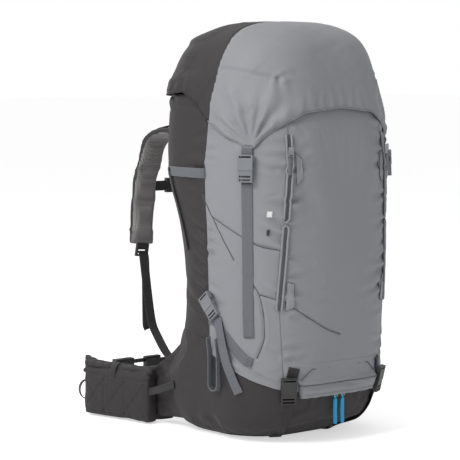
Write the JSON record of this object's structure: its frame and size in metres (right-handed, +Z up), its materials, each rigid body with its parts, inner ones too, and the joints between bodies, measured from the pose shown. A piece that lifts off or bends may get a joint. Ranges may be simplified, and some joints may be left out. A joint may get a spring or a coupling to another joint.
{
  "type": "hiking backpack",
  "caption": "Large top-loading trekking pack with a strapped lid, long front zips, a base compartment, a padded harness and a hip belt with rolled pockets.",
  "frame": {"origin": "middle of the flat patch of the base that the pack stands on, between its left and right sides", "axes": "+Z up, -Y towards the front face of the pack, +Y towards the wearer, -X towards the wearer's left"},
  "size_m": [0.3946, 0.6191, 0.7371],
  "materials": {
    "grey_fabric": "matte ripstop nylon",
    "dark_fabric": "matte ripstop nylon",
    "grey_webbing": "woven webbing",
    "black_webbing": "woven webbing",
    "grey_plastic": "satin moulded acetal",
    "black_plastic": "satin moulded acetal",
    "foam_mesh": "spacer mesh over foam",
    "zip_tape": "coil zip on woven tape",
    "zip_metal": "painted die casting",
    "blue_puller": "moulded puller over cord",
    "hdpe": "thermoformed sheet",
    "aluminium": "bare bar"
  },
  "bodies": {
    "pack": {"base_panel": "dark_fabric", "front_panel": "grey_fabric", "back_panel": "dark_fabric", "side_panels": "grey_fabric", "rear_gussets": "dark_fabric", "compartment_divider": "dark_fabric", "collar": "dark_fabric", "front_straps": "grey_webbing", "upper_side_straps": "grey_webbing", "lower_side_straps": "grey_webbing", "base_straps": "black_webbing", "lid_anchor_straps": "black_webbing", "front_zips": "zip_tape", "base_zip": "zip_tape", "base_zip_flap": "grey_fabric", "ice_axe_loops": "grey_webbing", "frame_sheet": "hdpe", "aluminium_stays": "aluminium", "back_pads": "foam_mesh", "lumbar_pad": "foam_mesh", "side_buckles": "grey_plastic", "base_buckles": "black_plastic", "haul_loop": "black_webbing", "shoulder_webbing": "black_webbing", "load_lifters": "black_webbing"},
    "lid": {"lid_front": "grey_fabric", "lid_back": "dark_fabric", "lid_floor": "dark_fabric", "lid_pocket_zip": "zip_tape", "lid_buckles": "grey_plastic", "lid_tabs": "grey_webbing"},
    "harness": {"yoke": "dark_fabric", "shoulder_pads": "foam_mesh", "ladder_locks": "grey_plastic", "webbing_tails": "black_webbing"},
    "sternum": {"sternum_straps": "black_webbing", "sternum_buckle": "black_plastic"},
    "sternum_clip": {"sternum_clip": "black_plastic"},
    "hip_wing_left": {"hip_wing_left": "dark_fabric", "hip_pocket_left": "dark_fabric", "hip_webbing_left": "black_webbing", "hip_buckle": "black_plastic"},
    "hip_wing_right": {"hip_wing_right": "dark_fabric", "hip_pocket_right": "dark_fabric", "hip_webbing_right": "black_webbing"},
    "hip_clip": {"hip_clip": "black_plastic"},
    "lid_clip_left": {"lid_clip_left": "grey_plastic"},
    "side_clip_left": {"side_clip_left": "grey_plastic"},
    "base_clip_left": {"base_clip_left": "black_plastic"},
    "front_slider_left": {"front_slider_left": "zip_metal"},
    "front_puller_left": {"front_puller_left": "grey_plastic"},
    "base_slider_left": {"base_slider_left": "zip_metal"},
    "base_puller_left": {"base_puller_left": "blue_puller"},
    "lid_clip_right": {"lid_clip_right": "grey_plastic"},
    "side_clip_right": {"side_clip_right": "grey_plastic"},
    "base_clip_right": {"base_clip_right": "black_plastic"},
    "front_slider_right": {"front_slider_right": "zip_metal"},
    "front_puller_right": {"front_puller_right": "grey_plastic"},
    "base_slider_right": {"base_slider_right": "zip_metal"},
    "base_puller_right": {"base_puller_right": "blue_puller"}
  },
  "joints": [
    {"name": "lid_hinge", "type": "hinge", "parent": "pack", "child": "lid", "pos_m": [0, 0.177, 0.604], "axis": [-1, 0, 0], "range_deg": [0, 95]},
    {"name": "harness_height", "type": "slide", "parent": "pack", "child": "harness", "axis": [0, 0.2164, 0.9763], "range_m": [-0.05, 0.03], "deforming": ["shoulder_webbing", "load_lifters"]},
    {"name": "sternum_height", "type": "slide", "parent": "harness", "child": "sternum", "axis": [0, 0, 1], "range_m": [-0.03, 0.03]},
    {"name": "sternum_release", "type": "slide", "parent": "sternum", "child": "sternum_clip", "axis": [1, 0, 0], "range_m": [0, 0.028]},
    {"name": "hip_wing_left_swing", "type": "hinge", "parent": "pack", "child": "hip_wing_left", "pos_m": [-0.098, 0.188, 0.054], "axis": [0, 0, 1], "range_deg": [0, 35]},
    {"name": "hip_wing_right_swing", "type": "hinge", "parent": "pack", "child": "hip_wing_right", "pos_m": [0.098, 0.188, 0.054], "axis": [0, 0, -1], "range_deg": [0, 35]},
    {"name": "hip_clip_travel", "type": "slide", "parent": "hip_wing_right", "child": "hip_clip", "axis": [1, 0, 0], "range_m": [-0.0316, 0]},
    {"name": "lid_buckle_left_release", "type": "slide", "parent": "lid", "child": "lid_clip_left", "axis": [-0.043, -0.0221, -0.9988], "range_m": [0, 0.028]},
    {"name": "side_buckle_left_release", "type": "slide", "parent": "pack", "child": "side_clip_left", "axis": [0.0216, -0.6224, -0.7824], "range_m": [0, 0.028]},
    {"name": "base_buckle_left_release", "type": "slide", "parent": "pack", "child": "base_clip_left", "axis": [0.1003, 0.1752, -0.9794], "range_m": [0, 0.028]},
    {"name": "front_zip_left_travel", "type": "slide", "parent": "pack", "child": "front_slider_left", "axis": [-0.0501, 0.0428, -0.9978], "range_m": [0, 0.2507]},
    {"name": "front_puller_left_swing", "type": "hinge", "parent": "front_slider_left", "child": "front_puller_left", "pos_m": [-0.11499, -0.15801, 0.5067], "axis": [-0.8664, 0.4951, 0.0647], "range_deg": [0, 110]},
    {"name": "base_zip_left_travel", "type": "slide", "parent": "pack", "child": "base_slider_left", "axis": [-1, 0, 0], "range_m": [0, 0.045]},
    {"name": "base_puller_left_swing", "type": "hinge", "parent": "base_slider_left", "child": "base_puller_left", "pos_m": [-0.0085, -0.15841, 0.08234], "axis": [-1, 0, 0], "range_deg": [0, 32]},
    {"name": "lid_buckle_right_release", "type": "slide", "parent": "lid", "child": "lid_clip_right", "axis": [0.043, -0.0221, -0.9988], "range_m": [0, 0.028]},
    {"name": "side_buckle_right_release", "type": "slide", "parent": "pack", "child": "side_clip_right", "axis": [-0.0216, -0.6224, -0.7824], "range_m": [0, 0.028]},
    {"name": "base_buckle_right_release", "type": "slide", "parent": "pack", "child": "base_clip_right", "axis": [-0.1003, 0.1752, -0.9794], "range_m": [0, 0.028]},
    {"name": "front_zip_right_travel", "type": "slide", "parent": "pack", "child": "front_slider_right", "axis": [0.0501, 0.0428, -0.9978], "range_m": [0, 0.2507]},
    {"name": "front_puller_right_swing", "type": "hinge", "parent": "front_slider_right", "child": "front_puller_right", "pos_m": [0.11499, -0.15801, 0.5067], "axis": [-0.8664, -0.4951, -0.0647], "range_deg": [0, 110]},
    {"name": "base_zip_right_travel", "type": "slide", "parent": "pack", "child": "base_slider_right", "axis": [1, 0, 0], "range_m": [0, 0.045]},
    {"name": "base_puller_right_swing", "type": "hinge", "parent": "base_slider_right", "child": "base_puller_right", "pos_m": [0.0085, -0.15841, 0.08234], "axis": [-1, 0, 0], "range_deg": [0, 32]}
  ]
}
